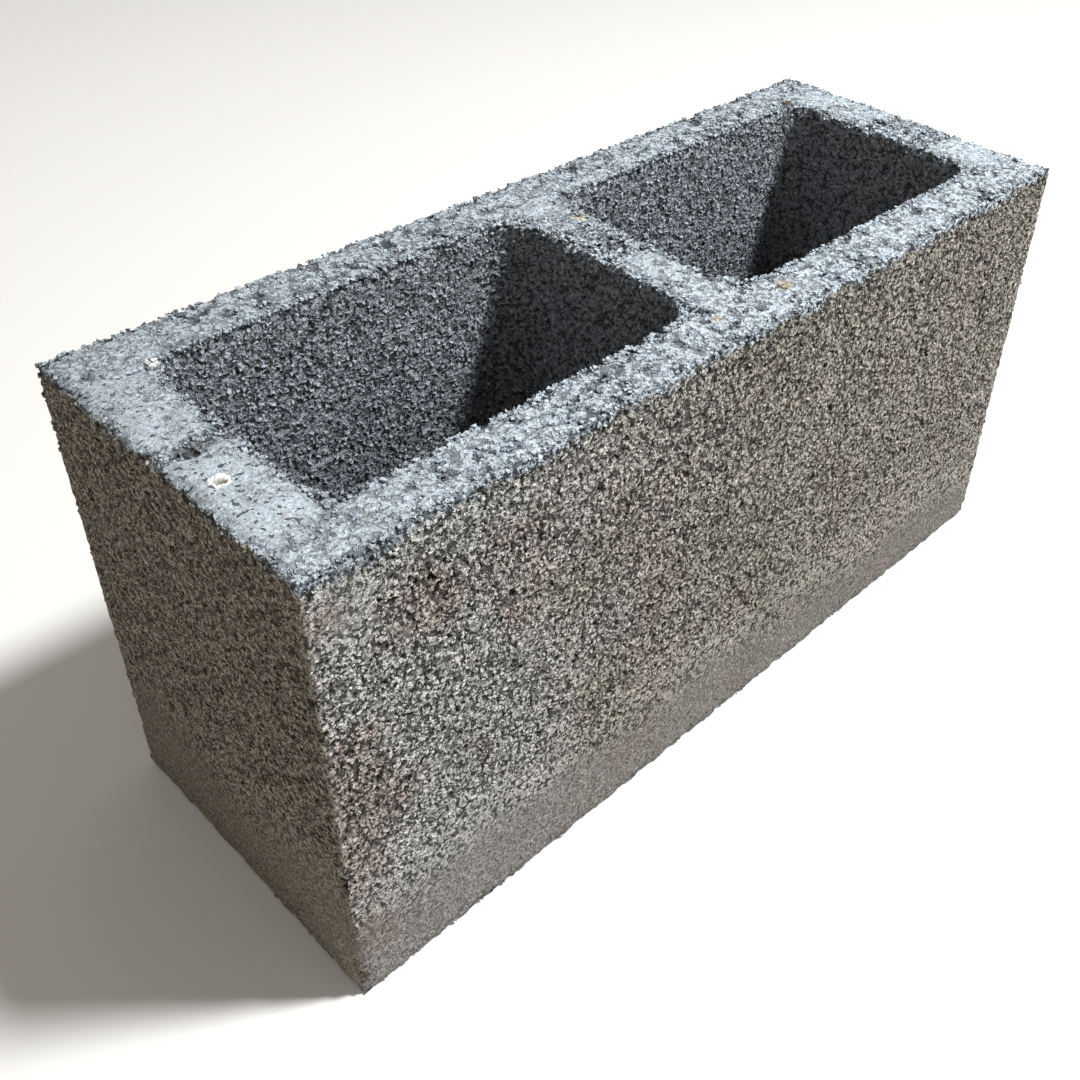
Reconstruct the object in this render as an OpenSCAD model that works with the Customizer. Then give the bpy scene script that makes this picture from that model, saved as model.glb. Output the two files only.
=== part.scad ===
// Hollow concrete masonry block, 400 x 150 x 200 mm, with two through cells.
// One pressed and cured piece. It stands on its bed face as it is laid in a wall:
// length along X, thickness of the wall along Y, height along Z.
// The origin is the middle of the bottom bed face.

/* [Block] */
// Length of the block along the wall
block_l = 400; // [300:5:500]
// Thickness of the block through the wall
block_w = 150; // [110:5:240]
// Height of the block
block_h = 200; // [90:5:250]
// Worn bevel along every outer arris
arris = 2; // [0.5:0.5:4]

/* [Shells and webs] */
// Thickness of each long face shell at the top
shell_t = 25; // [18:1:32]
// Thickness of each end web at the top
end_web_t = 27; // [18:1:40]
// Thickness of the centre web at the top, halfway between the shells
centre_web_t = 23; // [16:1:50]

/* [Cells] */
// How much each cell wall comes in from the top to the bottom, so the cores draw out
cell_draft = 2.5; // [0:0.5:4]
// Corner radius of a cell at its end web
end_corner_r = 12; // [6:1:24]
// Corner radius of a cell at the centre web
web_corner_r = 18; // [6:1:24]
// Worn bevel around the mouth of each cell at the top
mouth_bevel = 2.5; // [0.5:0.5:5]

/* [Hidden] */
// How far a cut runs past the face it opens
reach = 1;
// Sides of a round cell corner
corner_sides = 32;
// Least corner radius that a tapered cell keeps at the bottom
least_r = 0.5;
concrete_grey = [0.54, 0.53, 0.50];

cell_x0 = centre_web_t / 2;
cell_x1 = block_l / 2 - end_web_t;
cell_w = block_w - 2 * shell_t;
// A corner is never rounder than half of the cell's width allows
most_r = cell_w / 2 - least_r;
end_r = min(end_corner_r, most_r);
web_r = min(web_corner_r, most_r);

// A cell wall's offset from its place at the top, at height z
function wall_offset(z) = -cell_draft * (1 - z / block_h);

// A rectangle a by b about the origin with its corners cut off by c
module cut_rectangle(a, b, c) {
    polygon([
        [-a / 2 + c, -b / 2], [a / 2 - c, -b / 2],
        [a / 2, -b / 2 + c], [a / 2, b / 2 - c],
        [a / 2 - c, b / 2], [-a / 2 + c, b / 2],
        [-a / 2, b / 2 - c], [-a / 2, -b / 2 + c]
    ]);
}

// The outer body: three bevelled prisms along Z, Y and X cut each other to a box
// whose twelve arrises are all worn alike
module outer_body() {
    intersection() {
        linear_extrude(block_h)
            cut_rectangle(block_l, block_w, arris);
        translate([0, block_w / 2, block_h / 2])
            rotate([90, 0, 0])
                linear_extrude(block_w)
                    cut_rectangle(block_l, block_h, arris);
        translate([-block_l / 2, 0, block_h / 2])
            rotate([90, 0, 90])
                linear_extrude(block_l)
                    cut_rectangle(block_w, block_h, arris);
    }
}

// One upright cone at a cell corner. Its radius grows by grow0 at z0 and grow1 at z1.
module corner_cone(x, y, r, z0, z1, grow0, grow1) {
    translate([x, y, z0])
        cylinder(h = z1 - z0, r1 = max(r + grow0, least_r), r2 = r + grow1, $fn = corner_sides);
}

// A stretch of the cell from z0 to z1, between four corner cones
module cell_stretch(z0, z1, grow0, grow1) {
    hull() {
        for (side = [-1, 1]) {
            corner_cone(cell_x0 + web_r, side * (cell_w / 2 - web_r), web_r, z0, z1, grow0, grow1);
            corner_cone(cell_x1 - end_r, side * (cell_w / 2 - end_r), end_r, z0, z1, grow0, grow1);
        }
    }
}

// The cell on the +X side: the drafted core's space and the bevel at its mouth
module cell() {
    mouth_z = block_h - mouth_bevel;
    cell_stretch(-reach, mouth_z, wall_offset(-reach), wall_offset(mouth_z));
    cell_stretch(mouth_z, block_h + reach, wall_offset(mouth_z), mouth_bevel + reach);
}

module block() {
    color(concrete_grey)
        difference() {
            outer_body();
            cell();
            mirror([1, 0, 0])
                cell();
        }
}

block();
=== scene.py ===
# %% [markdown]
# # A hollow concrete block
# The real block is one casting: an earth-damp mix of cement, sand and small stones is shaken
# and pressed in a steel mould. The mould walls leave flat faces with open pores, the cores
# leave two rough cells, and the stamp on top leaves a paler, finer face with crumbly edges.
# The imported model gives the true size, so it is loaded first and never changed.

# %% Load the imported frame
from collections import namedtuple
import math
import bmesh
import bpy
import numpy as np
from mathutils import Matrix, Vector


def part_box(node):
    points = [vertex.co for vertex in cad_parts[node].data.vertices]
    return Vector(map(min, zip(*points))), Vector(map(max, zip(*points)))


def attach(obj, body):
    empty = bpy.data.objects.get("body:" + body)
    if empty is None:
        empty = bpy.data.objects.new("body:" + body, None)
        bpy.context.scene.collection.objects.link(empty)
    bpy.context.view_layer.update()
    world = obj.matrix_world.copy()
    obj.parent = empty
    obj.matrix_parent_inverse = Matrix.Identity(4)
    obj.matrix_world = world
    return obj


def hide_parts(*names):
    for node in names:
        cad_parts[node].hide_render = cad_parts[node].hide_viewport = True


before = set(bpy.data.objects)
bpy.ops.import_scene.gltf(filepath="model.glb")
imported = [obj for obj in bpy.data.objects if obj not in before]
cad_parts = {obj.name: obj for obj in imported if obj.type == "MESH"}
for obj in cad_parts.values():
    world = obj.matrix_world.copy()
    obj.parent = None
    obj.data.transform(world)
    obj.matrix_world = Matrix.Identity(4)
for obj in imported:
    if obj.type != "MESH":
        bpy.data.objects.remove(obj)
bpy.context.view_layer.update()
low, high = (Vector(corner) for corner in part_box("block"))
LENGTH, WIDTH, HEIGHT = high - low
MM = 0.001
print(f"packed block: {LENGTH:.3f} x {WIDTH:.3f} x {HEIGHT:.3f} m")

# %% [markdown]
# ## Camera
# The view looks down on the near corner from about half a metre, so the block tapers away
# strongly to the right. A camera can be aimed with a Track To constraint, but the small roll
# of a hand-held view is easier to set when its three axes are worked out from angles.

# %% Place the camera
CAMERA_PLACE = Vector((-0.3176, -0.2975, 0.4272))
CAMERA_YAW = math.radians(47.4)
CAMERA_PITCH = math.radians(-37.56)
CAMERA_ROLL = math.radians(2.56)
CAMERA_LENS = 41.6
CAMERA_SHIFT = (-0.077, -0.065)


def aim(place, yaw, pitch, roll):
    """A camera matrix: yaw turns from +Y to +X, pitch lifts, roll tips its right side up."""
    flat = math.cos(pitch)
    look = Vector((flat * math.sin(yaw), flat * math.cos(yaw), math.sin(pitch)))
    level = look.cross(Vector((0, 0, 1))).normalized()
    upright = level.cross(look)
    right = math.cos(roll) * level + math.sin(roll) * upright
    up = math.cos(roll) * upright - math.sin(roll) * level
    turned = Matrix((right, up, -look)).transposed().to_4x4()
    return Matrix.Translation(place) @ turned


camera_data = bpy.data.cameras.new("camera")
camera_data.lens = CAMERA_LENS
camera_data.shift_x, camera_data.shift_y = CAMERA_SHIFT
camera_data.clip_start = 10 * MM
camera = bpy.data.objects.new("camera", camera_data)
bpy.context.collection.objects.link(camera)
camera.matrix_world = aim(CAMERA_PLACE, CAMERA_YAW, CAMERA_PITCH, CAMERA_ROLL)
bpy.context.scene.camera = camera
print(f"camera {CAMERA_PLACE.length:.2f} m from the block's foot, lens {CAMERA_LENS} mm")

# %% [markdown]
# ## The plain shape, by hand
# The shape under the rough skin is a box with two drafted cells. It could be copied from the
# imported solid, but it is quick to model: a cube is cut into a grid where the walls stand,
# the cells are bridged from top to bottom, their lower rims are drawn in by the draft, and
# their upright corners are bevelled. All sizes are those of the imported solid.

# %% Sizes of the walls and small helpers
SHELL = 25 * MM
END_WEB = 27 * MM
CENTRE_WEB = 23 * MM
DRAFT = 2.5 * MM
END_CORNER = 12 * MM
WEB_CORNER = 18 * MM
CELL_LENGTH = LENGTH / 2 - END_WEB - CENTRE_WEB / 2
CELL_WIDTH = WIDTH - 2 * SHELL
CELL_CENTRE = (LENGTH / 2 - END_WEB + CENTRE_WEB / 2) / 2
NEAR = 0.05 * MM  # two places nearer than this are the same
print(f"cells of {CELL_LENGTH:.4f} x {CELL_WIDTH:.4f} m at {CELL_CENTRE:.4f} m from the middle")


def only(piece):
    """Selects one object and makes it the active one."""
    bpy.ops.object.select_all(action="DESELECT")
    piece.select_set(True)
    bpy.context.view_layer.objects.active = piece


def pick(kind, wanted):
    """In edit mode, selects the faces, edges or verts for which wanted() is true."""
    bpy.ops.mesh.select_all(action="DESELECT")
    shape = bmesh.from_edit_mesh(bpy.context.object.data)
    for item in getattr(shape, kind):
        if wanted(item):
            item.select_set(True)
    bmesh.update_edit_mesh(bpy.context.object.data)


def edit_mode(kind):
    """Goes into edit mode for one kind of element: VERT, EDGE or FACE."""
    bpy.ops.object.mode_set(mode="EDIT")
    bpy.ops.mesh.select_mode(type=kind)


# %% Cut the grid and open the cells
def over_cell(face, side):
    """Whether a top or bottom face lies over the cell on this side of the middle."""
    middle = face.calc_center_median()
    level = abs(face.normal.z) > 0.9
    return level and abs(middle.x - side * CELL_CENTRE) < CELL_LENGTH / 2 and abs(middle.y) < NEAR


bpy.ops.object.select_all(action="DESELECT")
bpy.ops.mesh.primitive_cube_add(size=1, location=(0, 0, HEIGHT / 2))
body = bpy.context.object
body.name = "block_body"
body.scale = (LENGTH, WIDTH, HEIGHT)
bpy.ops.object.transform_apply(location=True, rotation=True, scale=True)

edit_mode("FACE")
for side in (-1, 1):
    for end in (-1, 1):
        cut_x = side * CELL_CENTRE + end * CELL_LENGTH / 2
        bpy.ops.mesh.select_all(action="SELECT")
        bpy.ops.mesh.bisect(plane_co=(cut_x, 0, 0), plane_no=(1, 0, 0))
    bpy.ops.mesh.select_all(action="SELECT")
    bpy.ops.mesh.bisect(plane_co=(0, side * CELL_WIDTH / 2, 0), plane_no=(0, 1, 0))

for side in (-1, 1):
    pick("faces", lambda face, side=side: over_cell(face, side))
    bpy.ops.mesh.bridge_edge_loops()
bpy.ops.object.mode_set(mode="OBJECT")
print(f"grid with cells: {len(body.data.polygons)} faces")

# %% Draft, corners and worn edges
def at_cell(point, side):
    """Whether a point is on the outline of this cell, seen from above."""
    off_x = abs(point.x - side * CELL_CENTRE)
    return off_x < CELL_LENGTH / 2 + NEAR and abs(point.y) < CELL_WIDTH / 2 + NEAR


edit_mode("VERT")
for side in (-1, 1):
    pick("verts", lambda v, side=side: v.co.z < NEAR and at_cell(v.co, side))
    drawn_in = (1 - 2 * DRAFT / CELL_LENGTH, 1 - 2 * DRAFT / CELL_WIDTH, 1)
    bpy.ops.transform.resize(value=drawn_in, center_override=(side * CELL_CENTRE, 0, 0))


def upright(edge):
    """Whether an edge runs from the bottom to the top inside a cell."""
    a, b = (v.co for v in edge.verts)
    inside = all(abs(p.y) < CELL_WIDTH / 2 + NEAR and abs(p.x) < LENGTH / 2 - NEAR for p in (a, b))
    return inside and abs(a.z - b.z) > HEIGHT / 2


bpy.ops.mesh.select_mode(type="EDGE")
by_web = LENGTH / 4 - END_WEB / 2
pick("edges", lambda e: upright(e) and abs(e.verts[0].co.x) < by_web)
bpy.ops.mesh.bevel(offset=WEB_CORNER, segments=6, affect="EDGES")
pick("edges", lambda e: upright(e) and abs(e.verts[0].co.x) > CELL_CENTRE + CELL_LENGTH / 2 - 3 * DRAFT)
bpy.ops.mesh.bevel(offset=END_CORNER, segments=5, affect="EDGES")

# %% One fixed order
# A bevel leaves corners and faces in no fixed order, and the grains scattered later depend on
# that order. Sorted by how far they are from an odd place, they come out the same each time.
ODD_PLACE = (5 * HEIGHT, 4 * HEIGHT, 2 * HEIGHT)
bpy.context.scene.cursor.location = ODD_PLACE
bpy.ops.mesh.select_all(action="SELECT")
bpy.ops.mesh.sort_elements(type="CURSOR_DISTANCE", elements={"VERT", "EDGE", "FACE"})
bpy.ops.object.mode_set(mode="OBJECT")
print(f"drafted and bevelled: {len(body.data.polygons)} faces")

# %% [markdown]
# ## Fields
# Rough concrete is described by numbers that change from place to place: how open the pores
# are here, how near the next arris is. Blender's node trees hold such fields, and the same
# nodes exist for geometry and for materials. A tiny class lets ordinary arithmetic write
# them, so that the relief in the mesh and the colours in the material share one description.

# %% A field is a socket that arithmetic builds on
def add_node(tree, kind, inputs, **settings):
    """Adds a node, sets it up, and feeds its inputs with fields, sockets or plain values."""
    made = tree.nodes.new(kind)
    for name, value in settings.items():
        setattr(made, name, value)
    for name, value in inputs.items():
        source = value.socket if isinstance(value, Field) else value
        if isinstance(source, bpy.types.NodeSocket):
            tree.links.new(source, made.inputs[name])
        else:
            made.inputs[name].default_value = source
    return made


class Field:
    """A number or a vector at every point of a surface, held by a socket of a node tree."""

    def __init__(self, tree, socket):
        self.tree = tree
        self.socket = socket

    def node(self, kind, inputs, output=0, **settings):
        """One output of a new node in the same tree, as a field."""
        made = add_node(self.tree, kind, inputs, **settings)
        return Field(self.tree, made.outputs[output])

    def math(self, operation, *others):
        """One Math node on this number and up to two others."""
        values = dict(enumerate((self, *others)))
        return self.node("ShaderNodeMath", values, operation=operation)

    def __add__(self, other):
        return self.math("ADD", other)

    __radd__ = __add__

    def __mul__(self, other):
        return self.math("MULTIPLY", other)

    __rmul__ = __mul__

    def __sub__(self, other):
        return self.math("SUBTRACT", other)

    def __rsub__(self, other):
        return self * -1 + other

    def __truediv__(self, other):
        return self.math("DIVIDE", other)

    def __abs__(self):
        return self.math("ABSOLUTE")

    def least(self, other):
        """The smaller of two numbers."""
        return self.math("MINIMUM", other)

    def most(self, other):
        """The larger of two numbers."""
        return self.math("MAXIMUM", other)

    def ramp(self, start, end):
        """0 up to start and 1 from end on, with a smooth rise between, in either order."""
        values = {"Value": self, "From Min": start, "From Max": end}
        return self.node("ShaderNodeMapRange", values, interpolation_type="SMOOTHSTEP")

    def times(self, amount):
        """This vector or colour, longer or stronger by a number or a field."""
        return self.node("ShaderNodeVectorMath", {0: self, "Scale": amount}, operation="SCALE")

    def shifted(self, other, amount):
        """This place moved along another vector, times amount."""
        return self.node("ShaderNodeVectorMath", {0: self, 1: other.times(amount)}, operation="ADD")

    def part(self, axis):
        """One coordinate of a vector: 0, 1 or 2."""
        return self.node("ShaderNodeSeparateXYZ", {0: self}, output=axis)

    def noise(self, size, detail=2.0, rough=0.55, output=0):
        """Cloudy noise with lumps of about this size, in the unit of the place."""
        values = {"Vector": self, "Scale": 1 / size, "Detail": detail, "Roughness": rough}
        return self.node("ShaderNodeTexNoise", values, output=output)

    def lumps(self, size, output=0, **settings):
        """Voronoi cells of about this size: distance from the nearest centre, or its colour."""
        values = {"Vector": self, "Scale": 1 / size}
        return self.node("ShaderNodeTexVoronoi", values, output=output, **settings)


# %% [markdown]
# ## Where on the block is this point?
# The finish changes with the tool that made each face, so the fields first tell the faces
# apart, and how far it is to the outer arrises and to the mouths of the cells. Places are
# in millimetres here, because the grains are of that size.

# %% Regions of the block
HALF_L, HALF_W, TALL = LENGTH / 2 / MM, WIDTH / 2 / MM, HEIGHT / MM
SKIN = 1.2  # mm within which a point counts as being on the top or the underside
DEEP_SKIN = 8.0  # mm, the same for the upright outer faces


class Spot:
    """The regions around one place on the block, as fields."""

    def __init__(self, place):
        self.place = place
        self.x, self.y, self.z = (place.part(axis) for axis in range(3))
        to_end = HALF_L - abs(self.x)
        to_side = HALF_W - abs(self.y)
        to_top = TALL - self.z
        self.top = to_top.ramp(SKIN, SKIN / 3)
        self.bed = self.z.ramp(SKIN, SKIN / 3)
        level_face = self.top.most(self.bed)
        self.outer = to_end.least(to_side).ramp(DEEP_SKIN, DEEP_SKIN / 2) * (1 - level_face)
        self.end = self.outer * (to_side - to_end).ramp(-0.2, 0.2)
        self.cell = (1 - self.outer) * (1 - level_face)
        # The arris is near where two of the three distances are small: drop the largest.
        level = to_top.least(self.z)
        total = to_end + to_side + level
        self.to_arris = total - to_end.most(to_side).most(level)
        self.inside = self.to_arris.ramp(1.0, 4.5)
        out_x = abs(abs(self.x) - CELL_CENTRE / MM) - CELL_LENGTH / 2 / MM
        out_y = abs(self.y) - CELL_WIDTH / 2 / MM
        self.to_mouth = out_x.most(out_y).most(0.0) + to_top


# %% [markdown]
# ## Relief
# Three things make the relief. Where the mix met a mould wall it is pressed flat in small
# islands, and between them it stays open to a depth of a millimetre or so. In the cells,
# where the core is drawn out through stiff mix, coarse lumps stand out. Chips are lost
# along the arrises and mouths. Against a mould wall nothing can stand proud, so there the
# relief only goes inwards.

# %% Marks that this block has on its top
# Places are x and y in mm from the middle of the block, and the last number is a half width
# or a radius. The nicks are on the near upright arris, at a height and with a radius.
TRACES = ((-186, 0, 6), (0, 11, 17), (186, -6, 19))
PITS = ((-189, -21, 2.4), (-191, 55, 3.0), (-156, -54, 2.2), (-184, 18, 1.8),
        (147, 63, 2.0), (84, -66, 2.2), (-128, -63, 2.6), (-96, -62, 1.8))
TAN_STONES = ((-189, -21, 1.6), (-12, -59, 2.8), (25, -60, 4.2), (7, 31, 3.6), (172, 55, 2.4))
WHITE_SPECKS = ((-171, 49, 3.2), (-189, -21, 3.8))
NICKS = ((140, 4.0), (66, 5.5), (12, 4.5))


def near_top(spot):
    """1 in the uppermost layer of the block, where its marks are, and 0 below it."""
    return spot.z.ramp(TALL - 5, TALL - 4)


def disc(spot, x, y, radius):
    """1 inside a ragged round mark on the top and 0 outside."""
    ragged = 1.6 * (spot.place.noise(2.4, 1.0) - 0.5)
    off_x, off_y = spot.x - x, spot.y - y
    far = (off_x * off_x + off_y * off_y).math("SQRT") + ragged * radius * 0.6
    return far.ramp(radius, radius * 0.7) * near_top(spot)


def discs(spot, marks):
    """All the marks of one kind."""
    first, *others = [disc(spot, *mark) for mark in marks]
    for other in others:
        first = first.most(other)
    return first


def bar_trace(spot):
    """1 where the core bars crossed the webs and the mix was pushed back by hand."""
    total = 0.0
    for x, y, half in TRACES:
        across = abs(spot.y + 9 * (spot.place.noise(9, 1.0) - 0.5) - y).ramp(half, half - 3)
        total = total + across * abs(spot.x - x).ramp(18, 14)
    return total * near_top(spot)


def nicked(spot):
    """1 in the nicks of the near upright arris, at -X and -Y."""
    total = 0.0
    off_x, off_y = spot.x + HALF_L, spot.y + HALF_W
    for z, radius in NICKS:
        off_z = spot.z - z
        far = (off_x * off_x + off_y * off_y + off_z * off_z).math("SQRT")
        total = total + (far + 3 * (spot.place.noise(3, 1.0) - 0.5)).ramp(radius, radius * 0.3)
    return total


# %% How open and how rough each place is
def stamped_roughness(spot):
    """0 where the stamp pressed the top smooth and 1 where it only touched the lumps."""
    on_shell = abs(spot.y).ramp(46, 60) * 0.40
    along = (spot.x + 40 * spot.place.noise(60, 1.0)).ramp(-160, -60) * 0.25
    patchy = spot.place.noise(26, 2.0).ramp(0.35, 0.65) * 0.40
    by_edge = spot.to_arris.least(spot.to_mouth).ramp(7, 1) * 0.25
    return (on_shell + along + patchy + by_edge + 0.6 * bar_trace(spot)).least(1.0)


def openness(spot):
    """How open the texture is: about 1 on a moulded face and in a cell, less on smooth parts."""
    patches = spot.place.noise(38, 2.0)
    sweep = spot.z + 50 * (patches - 0.5) + 0.05 * spot.x
    smeared = (abs(spot.x + 186) + 0.6 * abs(spot.z - 186)).ramp(19, 7) * spot.y.ramp(-70, -74)
    moulded = (0.30 + 0.70 * sweep.ramp(14, 78)) * (1 - 0.18 * spot.end) * (1 - 0.50 * smeared)
    pressed = 0.30 + 0.50 * stamped_roughness(spot)
    cored = 0.85
    bedded = 0.15
    level = spot.outer * moulded + spot.top * pressed + spot.cell * cored + spot.bed * bedded
    return level * (0.80 + 0.40 * spot.place.noise(17, 1.0))


def islands(spot, open_here):
    """1 on the flat islands that met the mould and 0 in the open ground between them."""
    bent = spot.place.shifted(spot.place.noise(2.2, 1.0, output=1), 1.2)
    cloud = bent.noise(1.8, 1.5, 0.6) - 0.15 * (open_here - 0.62)
    hollow = cloud.ramp(0.430, 0.360)
    crack = abs(bent.noise(3.0, 1.5, 0.6) - 0.5).ramp(0.026, 0.008) * open_here.least(1.0)
    return 1 - hollow.most(crack)


def crevices(spot):
    """1 in the gaps between the lumps of the stamped top."""
    bent = spot.place.shifted(spot.place.noise(4.0, 2.0, output=1), 3.2)
    gaps = bent.lumps(5.2).ramp(0.48, 0.80)
    return gaps.most(bent.noise(2.6, 2.0, 0.6).ramp(0.62, 0.68))


def pores(spot):
    """A few deep ragged pores, 1 inside."""
    bent = spot.place.shifted(spot.place.noise(4.5, 1.0, output=1), 1.8)
    return bent.noise(4.2, 2.0, 0.6).ramp(0.66, 0.73)


# %% The height of the skin over the plain shape, in millimetres
PORE_DEPTH = 1.0
GROUND_DEPTH = 1.0  # between the islands
CREVICE_DEPTH = 1.3
TRACE_DEPTH = 0.7
PIT_DEPTH = 1.6
LUMP_HEIGHT = 0.5  # of the coarse lumps in the cells, up and down
NICK_DEPTH = 2.6


def wear(spot):
    """What the arrises and mouths have lost: rounded off, and crumbled where the top is rough."""
    by_top = spot.z.ramp(TALL - 14, TALL - 6).most(0.30).most(spot.z.ramp(12, 4) * 0.8)
    edge = spot.to_arris.least(spot.to_mouth + 0.5)
    rounded = edge.ramp(5.5, 0.0)
    crumbled = spot.place.noise(5.2, 2.0, 0.6).ramp(0.38, 0.62) * by_top
    bites = spot.place.noise(11, 1.5, 0.5).ramp(0.53, 0.68) * by_top
    lost = rounded * rounded * 0.7 + rounded * (1.5 * crumbled + 1.8 * bites)
    return lost + NICK_DEPTH * nicked(spot)


def relief(spot):
    """The skin's height over the plain shape."""
    open_here = openness(spot)
    ground = GROUND_DEPTH * (1 - islands(spot, open_here))
    pore = pores(spot)
    rough = stamped_roughness(spot)
    swell = spot.place.noise(22, 1.0) - 0.5
    coarse = spot.place.shifted(spot.place.noise(3.5, 1.0, output=1), 1.6).lumps(3.2)
    moulded = -1 * (0.35 + ground) * open_here.least(1.1) * spot.inside
    moulded = moulded - PORE_DEPTH * pore * open_here
    pressed = -CREVICE_DEPTH * crevices(spot) * rough - 0.6 * pore + 1.4 * swell * rough
    pressed = pressed - TRACE_DEPTH * bar_trace(spot) - PIT_DEPTH * discs(spot, PITS)
    cored = LUMP_HEIGHT * (0.45 - coarse) - 0.2 - ground - PORE_DEPTH * pore
    bedded = -0.5 * pore
    face = spot.outer * moulded + spot.top * pressed + spot.cell * cored + spot.bed * bedded
    return face - wear(spot)


# %% [markdown]
# ## The rough skin
# A voxel remesh turns the plain shape into even quads of under a millimetre, a Geometry
# Nodes modifier moves each point by the relief, and Decimate then spends the triangles
# where the surface is rough. Each point first writes down its place on the plain shape, so
# that the material can find the same pores again.

# %% Remesh, displace, decimate
VOXEL = 0.9 * MM
MOST_TRIANGLES = 196000
CAST_PLACE = "cast_place"


def new_modifier_tree(name):
    """A geometry tree with one geometry in and one out. Returns it and its two end nodes."""
    tree = bpy.data.node_groups.new(name, "GeometryNodeTree")
    tree.interface.new_socket("Geometry", in_out="INPUT", socket_type="NodeSocketGeometry")
    tree.interface.new_socket("Geometry", in_out="OUTPUT", socket_type="NodeSocketGeometry")
    return tree, tree.nodes.new("NodeGroupInput"), tree.nodes.new("NodeGroupOutput")


def in_millimetres(tree):
    """The place of each point, in millimetres."""
    metres = Field(tree, tree.nodes.new("GeometryNodeInputPosition").outputs[0])
    return metres.times(1 / MM)


def store(tree, geometry, name, value, kind):
    """Writes a field down on a geometry under a name, and returns the geometry."""
    inputs = {"Geometry": geometry, "Name": name, "Value": value}
    return add_node(tree, "GeometryNodeStoreNamedAttribute", inputs, data_type=kind).outputs[0]


def moved(tree, geometry, offset):
    """A geometry with each point moved by a vector field."""
    inputs = {"Geometry": geometry, "Offset": offset}
    return add_node(tree, "GeometryNodeSetPosition", inputs).outputs[0]


def relief_tree():
    """Geometry nodes that store each point's place in mm and push it along its normal."""
    tree, start, finish = new_modifier_tree("rough_skin")
    normal = Field(tree, tree.nodes.new("GeometryNodeInputNormal").outputs[0])
    place = in_millimetres(tree)
    skin = store(tree, start.outputs[0], CAST_PLACE, place, "FLOAT_VECTOR")
    skin = moved(tree, skin, normal.times(relief(Spot(place)) * MM))
    tree.links.new(skin, finish.inputs[0])
    return tree


def apply_modifier(piece, kind, **settings):
    """Adds a modifier to the active object, sets it and applies it."""
    made = piece.modifiers.new(kind.lower(), kind)
    for name, value in settings.items():
        setattr(made, name, value)
    bpy.ops.object.modifier_apply(modifier=made.name)


only(body)
bpy.ops.object.duplicate()
plain = bpy.context.object
plain.name = "plain_shape"
only(body)
apply_modifier(body, "REMESH", mode="VOXEL", voxel_size=VOXEL)
print(f"even skin: {len(body.data.polygons)} faces")
apply_modifier(body, "NODES", node_group=relief_tree())
fine_triangles = 2 * len(body.data.polygons)  # each face is still a quad
apply_modifier(body, "DECIMATE", ratio=MOST_TRIANGLES / fine_triangles)
bpy.ops.object.shade_smooth()
body.data.calc_loop_triangles()
print(f"rough skin: {len(body.data.loop_triangles)} triangles")

# %% [markdown]
# ## Grains
# Between the pressed islands a block shows its sand: grains of one to three millimetres,
# half sunk in paste, that throw the small shadows which make the face look rough. They
# could all be left to bump, but bump has no shadows. A handful of grains is shaped,
# and Geometry Nodes scatters copies over each face. Those that would stand out through the
# mould wall are pressed flush with it.

# %% Shape a handful of grains
GRAIN_SHAPES = 7
GRAIN_TONE = "grain_tone"


def shape_grain(number):
    """A lump of about unit radius: a short prism with its corners pushed about."""
    bpy.ops.object.select_all(action="DESELECT")
    bpy.ops.mesh.primitive_cylinder_add(vertices=3, radius=1, depth=1.35)
    grain = bpy.context.object
    grain.name = f"grain_{number}"
    bpy.ops.object.mode_set(mode="EDIT")
    bpy.ops.transform.vertex_random(offset=0.32, seed=number)
    bpy.ops.mesh.normals_make_consistent(inside=False)
    bpy.ops.object.mode_set(mode="OBJECT")
    return grain


handful = bpy.data.collections.new("grains")
for number in range(GRAIN_SHAPES):
    grain = shape_grain(number)
    bpy.context.collection.objects.unlink(grain)
    handful.objects.link(grain)
print(f"{GRAIN_SHAPES} grains of {len(grain.data.polygons)} faces")


# %% Points for the grains
CROWDING = 2.5  # tries for each grain that finds room


# The node has sockets for every kind of value. These are the numbers of the lower end, the
# upper end and the output for each kind that is used.
RANDOM_SOCKETS = {"FLOAT": (2, 3, 1), "FLOAT_VECTOR": (0, 1, 0)}


def random_field(tree, kind, least, most, seed):
    """A random number or vector for each point."""
    made = add_node(tree, "FunctionNodeRandomValue", {"Seed": seed}, data_type=kind)
    low_end, high_end, output = RANDOM_SOCKETS[kind]
    made.inputs[low_end].default_value = least
    made.inputs[high_end].default_value = most
    return Field(tree, made.outputs[output])


def scattered_points(tree, surface, face, wanted, spacing, seed):
    """Points over the chosen faces, of which the wanted share stays, and their normals."""
    chosen = add_node(tree, "GeometryNodeSeparateGeometry", {
        "Geometry": surface,
        "Selection": face(Spot(in_millimetres(tree))),
    }, domain="FACE")
    spread = add_node(tree, "GeometryNodeDistributePointsOnFaces", {
        "Mesh": chosen.outputs["Selection"],
        "Distance Min": spacing * MM,
        "Density Max": CROWDING / (spacing * MM) ** 2,
        "Seed": seed,
    }, distribute_method="POISSON")
    extra = random_field(tree, "FLOAT", 0.0, 1.0, seed + 5) - wanted(Spot(in_millimetres(tree)))
    thinned = add_node(tree, "GeometryNodeDeleteGeometry", {
        "Geometry": spread.outputs["Points"],
        "Selection": extra,
    }, domain="POINT")
    return thinned.outputs[0], Field(tree, spread.outputs["Normal"])


# %% Grains on the points
LEAST_RADIUS, MOST_RADIUS = 0.34, 0.72  # of a grain, as shares of the size
SUNK = 0.55  # how much of its radius a grain sinks in
LEAST_LIFT, MOST_LIFT = -0.22, 0.10  # added to that, as shares of the size
SHORT_FALL = 0.22  # mm by which the shortest grain stays behind the mould plane


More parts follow.
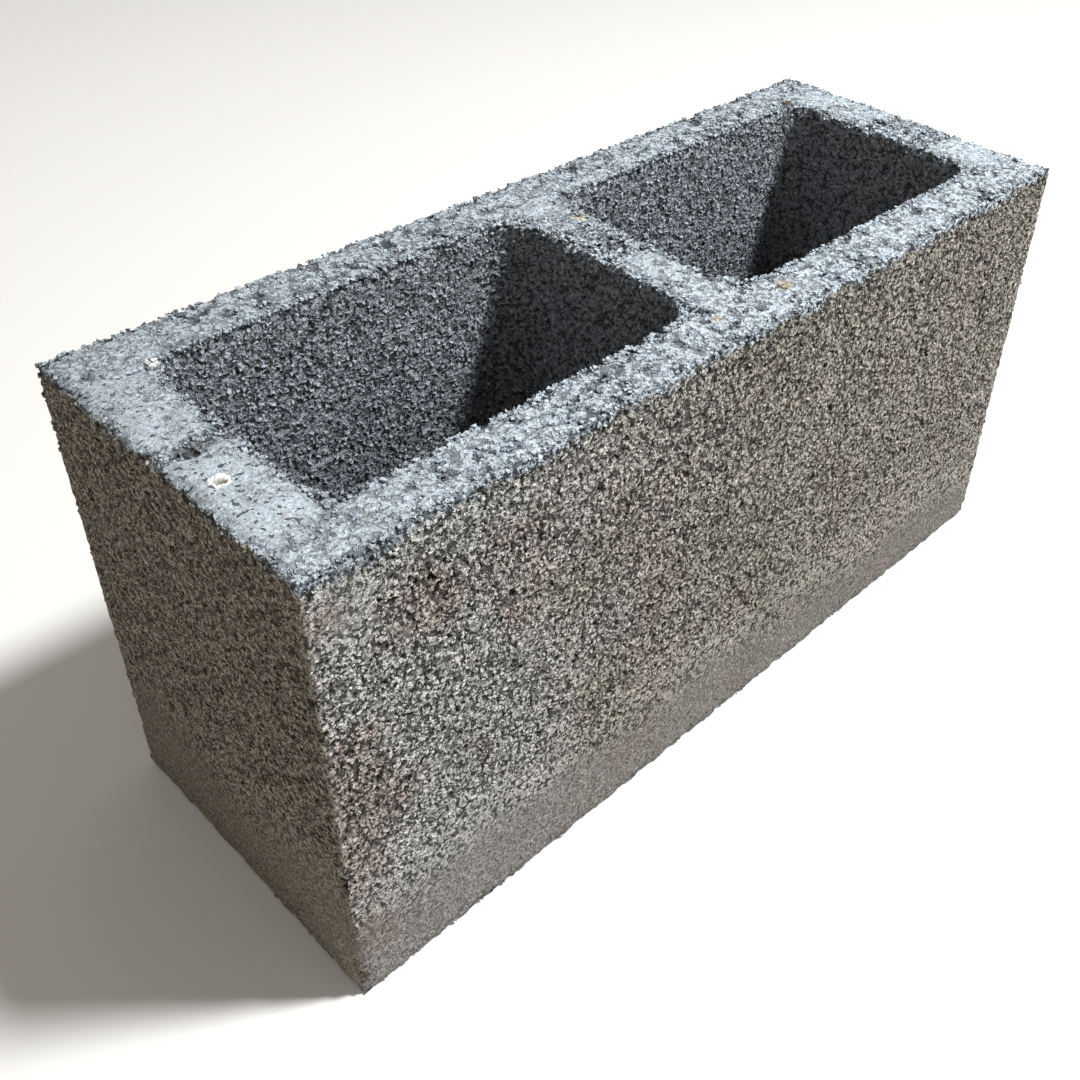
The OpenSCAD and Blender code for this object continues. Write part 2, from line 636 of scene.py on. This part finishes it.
def put_grains(tree, points, radius, seed):
    """One of the handful on each point, of its own radius and turned at random."""
    shapes = add_node(tree, "GeometryNodeCollectionInfo", {
        "Collection": handful,
        "Separate Children": True,
        "Reset Children": True,
    })
    turn = random_field(tree, "FLOAT_VECTOR", (0, 0, 0), (math.tau, math.tau, math.tau), seed + 3)
    put = add_node(tree, "GeometryNodeInstanceOnPoints", {
        "Points": points,
        "Instance": shapes.outputs[0],
        "Pick Instance": True,
        "Rotation": turn,
        "Scale": radius * MM,
    })
    return add_node(tree, "GeometryNodeRealizeInstances", {0: put.outputs[0]}).outputs[0]


def pressed_flush(tree, grains, proud):
    """Grains flattened so that none stands further than proud out of a mould plane."""
    place = in_millimetres(tree)
    own = add_node(tree, "GeometryNodeInputNamedAttribute", {"Name": GRAIN_TONE}, data_type="FLOAT")
    short = SHORT_FALL * Field(tree, own.outputs[0])
    parts = {}
    for axis, half in ((0, HALF_L), (1, HALF_W)):
        limit = half - short + proud
        parts[axis] = place.part(axis).least(limit).most(-1 * limit)
    parts[2] = place.part(2).most(short - proud).least(TALL - short + proud)
    pressed = Field(tree, add_node(tree, "ShaderNodeCombineXYZ", parts).outputs[0])
    inputs = {"Geometry": grains, "Position": pressed.times(MM)}
    return add_node(tree, "GeometryNodeSetPosition", inputs).outputs[0]


# %% Scatter them over a face
def grain_tree(name, face, wanted, spacing, size, proud, seed):
    """Geometry nodes that replace a mesh by grains over it.

    face(spot) is 1 for the faces that carry them, and wanted(spot), from 0 to 1, tells which
    share of them stays there. Sizes are in millimetres, and proud is how far a grain may
    stand out of the mould plane.
    """
    tree, start, finish = new_modifier_tree(name)
    points, normal = scattered_points(tree, start.outputs[0], face, wanted, spacing, seed)
    own = random_field(tree, "FLOAT", 0.0, 1.0, seed + 1)
    points = store(tree, points, GRAIN_TONE, own, "FLOAT")
    radius = random_field(tree, "FLOAT", LEAST_RADIUS * size, MOST_RADIUS * size, seed + 4)
    lift = random_field(tree, "FLOAT", LEAST_LIFT * size, MOST_LIFT * size, seed + 2)
    points = moved(tree, points, normal.times((lift - SUNK * radius) * MM))
    made = pressed_flush(tree, put_grains(tree, points, radius, seed), proud)
    made = store(tree, made, CAST_PLACE, in_millimetres(tree), "FLOAT_VECTOR")
    tree.links.new(made, finish.inputs[0])
    return tree


def scatter(name, face, wanted, spacing, size, proud, seed):
    """A piece made of grains scattered over the plain shape."""
    only(plain)
    bpy.ops.object.duplicate()
    made = bpy.context.object
    made.name = name
    tree = grain_tree(name, face, wanted, spacing, size, proud, seed)
    apply_modifier(made, "NODES", node_group=tree)
    made.data.calc_loop_triangles()
    print(f"{name}: {len(made.data.loop_triangles)} triangles")
    return made


# %% Which faces carry grains, and how many
def long_face(direction):
    """Tells whether a face is one of the long sides: -1 for the front, at -Y, or 1."""
    return lambda spot: (direction * spot.y).ramp(HALF_W - 2, HALF_W - 1)


def off_arris(spot):
    """No grains on a worn arris, where they would stand out of its outline."""
    return spot.to_arris.ramp(1.0, 3.4)


def open_share(spot):
    """More grains where the texture is open and on the islands that met the mould."""
    open_here = openness(spot)
    island = 0.10 + 0.90 * islands(spot, open_here)
    return open_here.ramp(0.20, 0.55) * island * off_arris(spot)


def crumb_share(spot):
    """On the stamped top, crumbs lie on the lumps and few in the gaps between them."""
    gap = (crevices(spot) * stamped_roughness(spot)).most(discs(spot, PITS))
    return openness(spot).ramp(0.34, 0.74) * (1 - 0.85 * gap) * spot.to_arris.ramp(0.5, 2.5)


def core_share(spot):
    """The cells are rough all the way down, and seen best near the top."""
    island = 0.1 + 0.9 * islands(spot, openness(spot))
    return spot.z.ramp(-60, 120) * spot.to_mouth.ramp(0.5, 2.5) * island


# %% The grains of each face
grains = [
    scatter("front_grains", long_face(-1), open_share, spacing=1.05, size=2.0, proud=0.0, seed=10),
    scatter("back_grains", long_face(1), open_share, spacing=1.5, size=2.4, proud=0.0, seed=20),
    scatter("end_grains", lambda s: s.end, open_share, spacing=1.2, size=1.8, proud=0.0, seed=30),
    scatter("bed_top_crumbs", lambda s: s.top, crumb_share, spacing=1.0, size=1.7, proud=0.10, seed=40),
    scatter("cell_grains", lambda s: s.cell, core_share, spacing=1.56, size=2.1, proud=0.0, seed=50),
]

# %% [markdown]
# ## Flat maps for a bake
# A game or a viewer needs the look as an image, on a flat map of each piece. An automatic
# unwrap would cut so rough a skin into thousands of scraps, but the plain shape under it has
# only fourteen flat walls. So every face is laid on a sheet with the wall it belongs to.
# Faces that look into the concrete are never seen, so they share one narrow strip.

# %% The fourteen walls
SHEET_GAP = 3.0  # mm between two walls on the sheet
HIDDEN_STRIP = 0.06  # share of the sheet that is left to the hidden faces
LEAN = 0.3  # how much depth shifts a point on the sheet, so that no face is edge-on
BLOCK_SIZE = np.array((LENGTH, WIDTH, HEIGHT)) / MM
CELL_SIZE = np.array((CELL_LENGTH, CELL_WIDTH, HEIGHT)) / MM
# The six sides of a box in this order: front, back, low end, high end, top and bed. Each has
# the axes that run across and up it, the axis that it faces along, and the sign of that way.
SIDES = ((0, 2, 1, -1), (0, 2, 1, 1), (1, 2, 0, -1), (1, 2, 0, 1), (0, 1, 2, 1), (0, 1, 2, -1))

# across, up and axis are numbers of axes, low and size are the box that the wall belongs to,
# way is the sign of the direction it faces, and plane is where it stands on its axis.
Wall = namedtuple("Wall", "across up axis way plane low size")


def walls_of(middle, size, sides, outwards):
    """Sides of a box as walls, seen from outside, or from inside as in a cell."""
    walls = []
    for across, up, axis, sign in sides:
        plane = middle[axis] + sign * size[axis] / 2
        way = sign if outwards else -sign
        walls.append(Wall(across, up, axis, way, plane, middle - size / 2, size))
    return walls


ALL_WALLS = walls_of(np.array((0, 0, TALL / 2)), BLOCK_SIZE, SIDES, True)
FIRST_CELL_WALL = len(ALL_WALLS)
for side in (-1, 1):
    middle = np.array((side * CELL_CENTRE / MM, 0, TALL / 2))
    ALL_WALLS += walls_of(middle, CELL_SIZE, SIDES[:4], False)
print(f"{len(ALL_WALLS)} walls")


# %% Which wall a place is on
def cell_wall(place):
    """The number of the cell wall that is nearest to each place, in mm."""
    x, y, _ = place.T
    off_x = x - np.where(x > 0, 1, -1) * CELL_CENTRE / MM
    by_web = abs(off_x) / CELL_SIZE[0] > abs(y) / CELL_SIZE[1]
    return FIRST_CELL_WALL + 4 * (x > 0) + np.where(by_web, 2 + (off_x > 0), y > 0)


def any_wall(place):
    """The number of the wall that is nearest to each place, in mm."""
    x, y, z = place.T
    draft = DRAFT / MM * (1 - z / TALL)
    radius = np.where(abs(x) < CELL_CENTRE / MM, WEB_CORNER, END_CORNER) / MM
    past_x = abs(abs(x) - CELL_CENTRE / MM) - (CELL_SIZE[0] / 2 - draft - radius)
    past_y = abs(y) - (CELL_SIZE[1] / 2 - draft - radius)
    round_part = np.hypot(np.maximum(past_x, 0), np.maximum(past_y, 0))
    to_cell = round_part + np.minimum(np.maximum(past_x, past_y), 0) - radius
    far = (y + HALF_W, HALF_W - y, x + HALF_L, HALF_L - x, TALL - z, z, to_cell)
    wall = abs(np.array(far)).argmin(axis=0)
    return np.where(wall == FIRST_CELL_WALL, cell_wall(place), wall)


# %% Room for each wall on the sheet
def in_rows(sizes, width):
    """Places rectangles in rows of at most this width. Returns their corners and the sheet."""
    corners, x, y, tall, widest = [], 0.0, 0.0, 0.0, 0.0
    for across, up in sizes:
        if x and x + across > width + SHEET_GAP:
            x, y, tall = 0.0, y + tall, 0.0
        corners.append((x, y))
        x, tall = x + across, max(tall, up)
        widest = max(widest, x)
    return corners, (widest, y + tall)


def squarest(sizes):
    """The rows whose sheet fits in the smallest square."""
    widths = np.cumsum([across for across, _ in sizes])
    return min((in_rows(sizes, width) for width in widths), key=lambda rows: max(rows[1]))


# %% Lay the pieces flat
def numbers_of(items, name, width=1, kind=float):
    """One property of many mesh items, as an array with so many numbers for each."""
    values = np.empty(len(items) * width, kind)
    items.foreach_get(name, values)
    return values if width == 1 else values.reshape(-1, width)


def lay_flat(piece, wall_of):
    """Gives a piece a map that lays its faces on walls: wall_of tells their numbers."""
    mesh = piece.data
    points = numbers_of(mesh.attributes[CAST_PLACE].data, "vector", 3)
    normals = numbers_of(mesh.polygons, "normal", 3)
    corner_point = numbers_of(mesh.loops, "vertex_index", kind=int)
    starts = numbers_of(mesh.polygons, "loop_start", kind=int)
    counts = np.diff(np.append(starts, len(mesh.loops)))
    face_wall = wall_of(np.add.reduceat(points[corner_point], starts) / counts[:, None])
    wall_of_corner = np.repeat(face_wall, counts)
    face_of_corner = np.repeat(np.arange(len(starts)), counts)
    used = [number for number in range(len(ALL_WALLS)) if (face_wall == number).any()]
    rooms = [ALL_WALLS[n].size[[ALL_WALLS[n].across, ALL_WALLS[n].up]] + SHEET_GAP for n in used]
    corners, sheet = squarest(rooms)
    flat = np.zeros((len(mesh.loops), 2))
    for number, corner in zip(used, corners):
        wall = ALL_WALLS[number]
        chosen = wall_of_corner == number
        place = points[corner_point[chosen]]
        depth = wall.way * (wall.plane - place[:, wall.axis])
        spots = (place - wall.low)[:, (wall.across, wall.up)] + LEAN * depth[:, None] + corner
        spots = spots / sheet * (1, 1 - HIDDEN_STRIP) + (0, HIDDEN_STRIP)
        hidden = wall.way * normals[face_of_corner[chosen], wall.axis] < -0.1
        spots[hidden, 1] *= HIDDEN_STRIP
        flat[chosen] = spots
    mesh.uv_layers.new(name="OFBake")
    mesh.uv_layers["OFBake"].data.foreach_set("uv", flat.clip(0, 1).ravel())
    print(f"{piece.name}: {len(used)} walls on a sheet of {sheet[0]:.0f} x {sheet[1]:.0f} mm")


def one_wall(number):
    """Puts every place on the same wall."""
    return lambda place: np.full(len(place), number)


def either_end(place):
    """The low end or the high end."""
    return 2 + (place[:, 0] > 0)


lay_flat(body, any_wall)
for piece, wall_of in zip(grains, (one_wall(0), one_wall(1), either_end, one_wall(4), cell_wall)):
    lay_flat(piece, wall_of)

# %% [markdown]
# ## Concrete
# The colour of a block is cement paste, grey-brown where the mould rubbed it and pale blue
# grey where it was pressed on top, with sand grains of every tone and open pores. An image
# could not be this fine all over, so the material finds the same pores and lumps as the
# relief and paints shade into them, gives each grain its own tone, and adds what is too
# fine for the mesh as colour and bump: sand, small pits and thin cracks, whose dark is
# painted shade.

# %% Tones
TOP_TONE = (0.438, 0.502, 0.560)
SIDE_TONE = (0.433, 0.408, 0.366)
NEAR_TONE = (0.508, 0.506, 0.484)
END_TONE = (0.318, 0.272, 0.217)
CELL_TONE = (0.362, 0.393, 0.438)
PINK_TONE = (0.431, 0.385, 0.352)
OLIVE_TONE = (0.398, 0.385, 0.332)
TAN_TONE = (0.490, 0.460, 0.375)
WHITE_TONE = (0.75, 0.76, 0.75)


# %% Colours as fields
def blend_tones(amount, below, above):
    """Two colours or colour fields, mixed by a field from 0 to 1."""
    tree = amount.tree
    mix = tree.nodes.new("ShaderNodeMix")
    mix.data_type = "RGBA"
    tree.links.new(amount.socket, mix.inputs["Factor"])
    for name, colour in (("A", below), ("B", above)):
        socket = next(s for s in mix.inputs if s.name == name and s.type == "RGBA")
        if isinstance(colour, Field):
            tree.links.new(colour.socket, socket)
        else:
            socket.default_value = (*colour, 1)
    return Field(tree, next(s for s in mix.outputs if s.type == "RGBA"))


def even_tone(tree, colour):
    """One colour everywhere, as a field."""
    source = tree.nodes.new("ShaderNodeRGB")
    source.outputs[0].default_value = (*colour, 1)
    return Field(tree, source.outputs[0])


# %% The paste's own colour
def side_tone(spot):
    """The moulded faces: greyer near the low end, pink and olive patches, pale chips at the foot."""
    patch = spot.place.noise(42, 2.0)
    other = spot.place.noise(55, 1.5, output=1).part(0)
    near = (spot.x + 70 * (patch - 0.5)).ramp(0, -170) * (1 - 0.5 * spot.z.ramp(60, 20))
    side = blend_tones(near, SIDE_TONE, NEAR_TONE)
    side = blend_tones(patch.ramp(0.50, 0.66), side, PINK_TONE)
    side = blend_tones(other.ramp(0.52, 0.66), side, OLIVE_TONE)
    side = blend_tones(spot.end, side, END_TONE)
    foot = spot.z.ramp(4.5, 0.5) * spot.place.noise(5, 2.0).ramp(0.40, 0.55) * 0.6
    return blend_tones(foot, side, TOP_TONE)


def region_tone(spot):
    """The tone of each face. The pale paste of the top hangs over the rim with a ragged edge."""
    tone = blend_tones(spot.outer, CELL_TONE, side_tone(spot))
    ragged = 5.0 * (spot.place.noise(3.0, 2.0) - 0.5)
    lower = spot.place.noise(13, 1.0) - 0.5
    below = TALL - spot.z + (1.6 - 0.9 * spot.end) * (ragged + 6 * lower) + 1.5 * spot.end
    graded = (1 + 0.0004 * spot.x - 0.001 * spot.y) * (1 - 0.12 * spot.x.ramp(-120, -170))
    return blend_tones(below.ramp(5.5, 1.5), tone, even_tone(spot.place.tree, TOP_TONE).times(graded))


def marked_tone(spot):
    """The paste with its white specks and tan stones, and a few loose tan grains of sand."""
    tan = spot.place.lumps(2.1, output=1).part(1).ramp(0.991, 0.994) * 0.35
    tone = blend_tones(discs(spot, WHITE_SPECKS), region_tone(spot), WHITE_TONE)
    return blend_tones(tan.most(discs(spot, TAN_STONES)), tone, TAN_TONE)


# %% Pits, cracks and hollows
def pits(spot):
    """Small crisp pits between the sand grains, 1 inside."""
    bent = spot.place.shifted(spot.place.noise(1.3, 1.0, output=1), 0.8)
    between = bent.lumps(2.3).ramp(0.66, 0.78)
    return between.most(bent.noise(1.8, 1.0).ramp(0.585, 0.630))


def pitting(spot, open_here):
    """Pits where the texture is open, specks on the smooth top, and dots on the walls. The material
    darkens them all as painted shade and sinks them in the bump.
    """
    rough = stamped_roughness(spot)
    fewer = 0.20 * spot.cell + 0.15 * spot.end + (0.80 - 0.50 * rough) * spot.top
    pitted = pits(spot) * open_here.ramp(0.20, 0.60) * (1 - fewer)
    speck = spot.place.noise(2.3, 1.0).ramp(0.625, 0.665) * spot.top * (1 - 0.6 * rough)
    dot = spot.place.noise(1.3, 1.0).ramp(0.60, 0.65) * spot.outer
    return pitted.most(0.95 * speck).most(0.6 * dot)


def cracks(spot):
    """Thin winding cracks between the sand grains, which the material darkens as painted shade."""
    wavy = spot.place.shifted(spot.place.noise(1.4, 1.0, output=1), 0.6)
    return abs(wavy.noise(2.3, 1.5) - 0.5).ramp(0.030, 0.010) * (1 - 0.6 * spot.top)


def painted_recess_shade(spot, here):
    """1 deep under the outer faces, away from the worn edges, where the material paints shade into the
    recesses. here is the true place in mm.
    """
    sides = (HALF_L - abs(here.part(0))).least(HALF_W - abs(here.part(1)))
    depth = sides.least(TALL - here.part(2))
    to_edge = spot.to_arris.least(spot.to_mouth)
    return depth.ramp(0.15, 1.2) * (1 - spot.cell) * to_edge.ramp(1.0, 4.5)


def face_shade(spot, open_here):
    """Smooth moulded faces are darker, a tone of their own, and the far wall of a cell is darker
    towards its bottom, which is painted shade.
    """
    smooth = spot.outer * (1 - 0.25 * spot.end) * (1 - open_here.ramp(0.25, 0.75))
    # painted shade deep in the cell, on its lit far wall
    lower_wall = spot.cell * spot.y.ramp(20, 40) * spot.z.ramp(165, 100)
    return (1 - 0.50 * smooth) * (1 - 0.28 * lower_wall)


# %% The material
BUMP_DEPTH = 1.0 * MM  # what 1 stands for in the bump heights


def attribute(tree, name, output):
    """A named attribute of the mesh, as a field in a material."""
    source = tree.nodes.new("ShaderNodeAttribute")
    source.attribute_name = name
    return Field(tree, source.outputs[output])


def gap_shade(spot, open_here):
    """The body between its lumps and grains, with painted shade in its gaps, crevices, pores and
    the open ground between the islands. Also the lumps' own height."""
    bent = spot.place.shifted(spot.place.noise(1.6, 1.0, output=1), 1.1)
    grain = bent.lumps(1.5)
    open_part = open_here.least(1.0)
    gap = grain.ramp(0.35, 0.65) * open_part * (0.3 + 0.7 * spot.inside)
    on_walls = (1 - islands(spot, open_here)) * open_part * (1 - spot.top) * spot.inside
    between_lumps = crevices(spot) * stamped_roughness(spot) * spot.top
    shade = 1 - 0.20 * on_walls - 0.55 * between_lumps
    shade = shade * (1 - 0.25 * gap) * (1 - 0.6 * pores(spot) * open_part)
    return shade, 0.55 * (1 - grain) * open_here


def soft_tones(spot):
    """Sand grains of every tone under broad clouds."""
    sand_tone = spot.place.lumps(0.8, output=1).part(0)
    cloud = spot.place.noise(9, 3.0)
    return (0.86 + 0.28 * sand_tone) * (0.88 + 0.24 * cloud)


def fine_sand(spot, open_here, bite):
    """Sand too fine for the mesh: how it shades the paste, and how high it stands. Its colour follows
    its height, lighter where it stands up and darker between: partly the sand's own speckle, partly
    painted light and shade.
    """
    grit = spot.place.noise(0.85, 2.0, 0.6) - 0.5
    knobs = spot.place.shifted(spot.place.noise(1.2, 1.0, output=1), 0.5).noise(2.0, 1.0) - 0.5
    sandy = (4.4 - 3.6 * open_here.least(1.0)) * (1 - 0.60 * spot.top)
    calm = 1 - 0.5 * spot.outer - (0.80 - 0.40 * stamped_roughness(spot)) * spot.top
    return 1 + sandy * grit + 0.5 * knobs * bite, (0.9 * grit + 1.4 * knobs) * bite * calm


def concrete_material(name, loose):
    """Rough block concrete. It reads its place in mm from an attribute, and if it is for
    loose grains their own tones too."""
    paint = bpy.data.materials.new(name)
    paint.use_nodes = True
    tree = paint.node_tree
    shader = tree.nodes["Principled BSDF"]
    spot = Spot(attribute(tree, CAST_PLACE, "Vector"))
    coordinates = tree.nodes.new("ShaderNodeTexCoord")
    here = Field(tree, coordinates.outputs["Object"]).times(1 / MM)
    open_here = openness(spot)
    bite = 0.55 + 0.45 * open_here.least(1.0)
    pitted = pitting(spot, open_here)
    thread = cracks(spot) * bite
    sand_shade, sand_height = fine_sand(spot, open_here, bite)
    # Pits, cracks, the recesses under the outer faces and the low far cell wall are darkened here as
    # painted shade, and the sand is partly painted light and shade.
    shade = soft_tones(spot) * sand_shade * (1.10 - 0.95 * pitted) * (1 - 0.50 * thread)
    shade = shade * face_shade(spot, open_here) * (1.08 - 0.58 * painted_recess_shade(spot, here))
    height = sand_height - 1.5 * pitted - 0.45 * thread
    if loose:
        own = attribute(tree, GRAIN_TONE, "Fac")
        shade = shade * (0.92 + 0.12 * own + 0.25 * own.ramp(0.95, 0.97))
    else:
        # The body's gaps, crevices and pores get painted shade.
        gaps, lumps = gap_shade(spot, open_here)
        shade = shade * gaps
        height = height + lumps
    tree.links.new(marked_tone(spot).times(shade).socket, shader.inputs["Base Color"])
    bump = add_node(tree, "ShaderNodeBump", {"Strength": 1.0, "Distance": BUMP_DEPTH, "Height": height})
    tree.links.new(bump.outputs[0], shader.inputs["Normal"])
    shader.inputs["Roughness"].default_value = 0.93
    shader.inputs["Specular IOR Level"].default_value = 0.25
    return paint


# %% Materials on the pieces
body_concrete = concrete_material("concrete", False)
grain_concrete = concrete_material("grain_concrete", True)
for piece in (body, *grains):
    piece.data.materials.clear()
    piece.data.materials.append(body_concrete if piece == body else grain_concrete)
    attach(piece, "root")
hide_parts("block")
only(plain)
bpy.ops.object.delete()
print(f"{1 + len(grains)} pieces of concrete")

# %% [markdown]
# ## Floor and light
# Strong light falls from above and a little from the front and the right, which draws the
# slanting shadow edges down the cells. One disk lamp of moderate size keeps those edges
# crisp enough, and an even, slightly warm world stands for the light that the studio walls
# send back into the shade.

# %% Floor
FLOOR_SIZE = 12
FLOOR_TONE = (0.82, 0.82, 0.81, 1)
bpy.ops.mesh.primitive_plane_add(size=FLOOR_SIZE, location=(0, 0, 0))
floor = bpy.context.object
floor.name = "floor"
floor_paint = bpy.data.materials.new("floor_paint")
floor_paint.use_nodes = True
floor_shader = floor_paint.node_tree.nodes["Principled BSDF"]
floor_shader.inputs["Base Color"].default_value = FLOOR_TONE
floor_shader.inputs["Roughness"].default_value = 0.9
floor.data.materials.append(floor_paint)
print(f"floor of {FLOOR_SIZE} m")

# %% Lamp and world
KEY_DIRECTION = Vector((0.375, -0.40, 1.0)).normalized()
KEY_DISTANCE = 2.2
KEY_SIZE = 0.30
KEY_WATTS = 62.0
key_data = bpy.data.lights.new("key", "AREA")
key_data.shape = "DISK"
key_data.size = KEY_SIZE
key_data.energy = KEY_WATTS
key = bpy.data.objects.new("key", key_data)
bpy.context.collection.objects.link(key)
key.location = KEY_DIRECTION * KEY_DISTANCE
key.rotation_euler = KEY_DIRECTION.to_track_quat("Z", "Y").to_euler()

WORLD_TONE = (1.0, 0.93, 0.84, 1)
WORLD_STRENGTH = 0.35
world = bpy.data.worlds.new("studio")
world.use_nodes = True
background = world.node_tree.nodes["Background"]
background.inputs["Color"].default_value = WORLD_TONE
background.inputs["Strength"].default_value = WORLD_STRENGTH
bpy.context.scene.world = world
bpy.context.scene.view_settings.view_transform = "Standard"
print(f"key of {KEY_WATTS:.0f} W at {KEY_DISTANCE} m, world at {WORLD_STRENGTH}")
